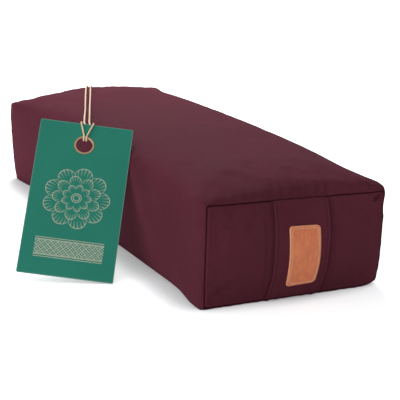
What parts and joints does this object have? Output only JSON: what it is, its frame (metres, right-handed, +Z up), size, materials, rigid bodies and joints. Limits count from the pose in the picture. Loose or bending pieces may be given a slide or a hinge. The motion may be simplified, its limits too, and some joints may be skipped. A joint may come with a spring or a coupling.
{
  "type": "yoga bolster",
  "caption": "Slim oblong yoga bolster: zip-off twill cover over a hull-filled cushion, carry handles with a leather patch, and a swing tag on a string.",
  "frame": {"origin": "middle of the cushion's underside, on the floor; the hang tag and its string are left out of the box that this is the bottom centre of", "axes": "+Z up; the long axis lies along Y, with the patched handle at -Y; the zips are on the +X side"},
  "size_m": [0.3672, 0.6495, 0.1569],
  "materials": {
    "twill": "matt cotton twill, wine",
    "calico": "plain unbleached cotton",
    "hulls": "loose dry grain hulls",
    "leather": "smooth tan leather, bare",
    "thread": "waxed thread",
    "zip_tape": "woven tape",
    "zip_coil": "moulded coil",
    "calico_tape": "woven tape and coil",
    "zip_metal": "plated, satin",
    "card": "matt printed card, green",
    "rose_brass": "polished",
    "string": "twisted cream cotton"
  },
  "bodies": {
    "bolster": {"cover_wrap": "twill", "cover_zip_bottom_stop": "zip_metal", "cover_zip_coil_lower": "zip_coil", "cover_zip_coil_upper": "zip_coil", "cover_zip_tape_lower": "zip_tape", "cover_zip_tape_upper": "zip_tape", "cover_zip_top_stop_lower": "zip_metal", "cover_zip_top_stop_upper": "zip_metal", "end_panel_back": "twill", "end_panel_front": "twill", "handle_back": "twill", "handle_front": "twill", "hull_fill": "hulls", "inner_case": "calico", "inner_zip_bottom_stop": "zip_metal", "inner_zip_coil_lower": "calico_tape", "inner_zip_coil_upper": "calico_tape", "inner_zip_tape_lower": "calico_tape", "inner_zip_tape_upper": "calico_tape", "inner_zip_top_stop_lower": "zip_metal", "inner_zip_top_stop_upper": "zip_metal", "leather_patch": "leather", "patch_stitching": "thread", "tag_string": "string", "tag_string_knot": "string"},
    "cover_slider": {"cover_zip_slider": "zip_metal"},
    "cover_pull": {"cover_zip_pull": "zip_metal"},
    "inner_slider": {"inner_zip_slider": "zip_metal"},
    "inner_pull": {"inner_zip_pull": "zip_metal"},
    "tag": {"tag_card": "card", "tag_eyelet": "rose_brass", "tag_string_hitch": "string"}
  },
  "joints": [
    {"name": "cover_zip_slide", "type": "slide", "parent": "bolster", "child": "cover_slider", "axis": [0, -1, 0], "range_m": [0, 0.4736]},
    {"name": "cover_zip_pull_turn", "type": "hinge", "parent": "cover_slider", "child": "cover_pull", "pos_m": [0.11105, 0.2368, 0.045], "axis": [0, 0, -1], "range_deg": [0, 180]},
    {"name": "inner_zip_slide", "type": "slide", "parent": "bolster", "child": "inner_slider", "axis": [0, -1, 0], "range_m": [0, 0.2136]},
    {"name": "inner_zip_pull_turn", "type": "hinge", "parent": "inner_slider", "child": "inner_pull", "pos_m": [0.10445, 0.1068, 0.077], "axis": [0, 0, -1], "range_deg": [0, 4]},
    {"name": "tag_swing", "type": "hinge", "parent": "bolster", "child": "tag", "pos_m": [-0.1377, -0.05681, 0.15003], "axis": [-0.895, 0.4304, 0.1172], "range_deg": [0, 90]}
  ]
}
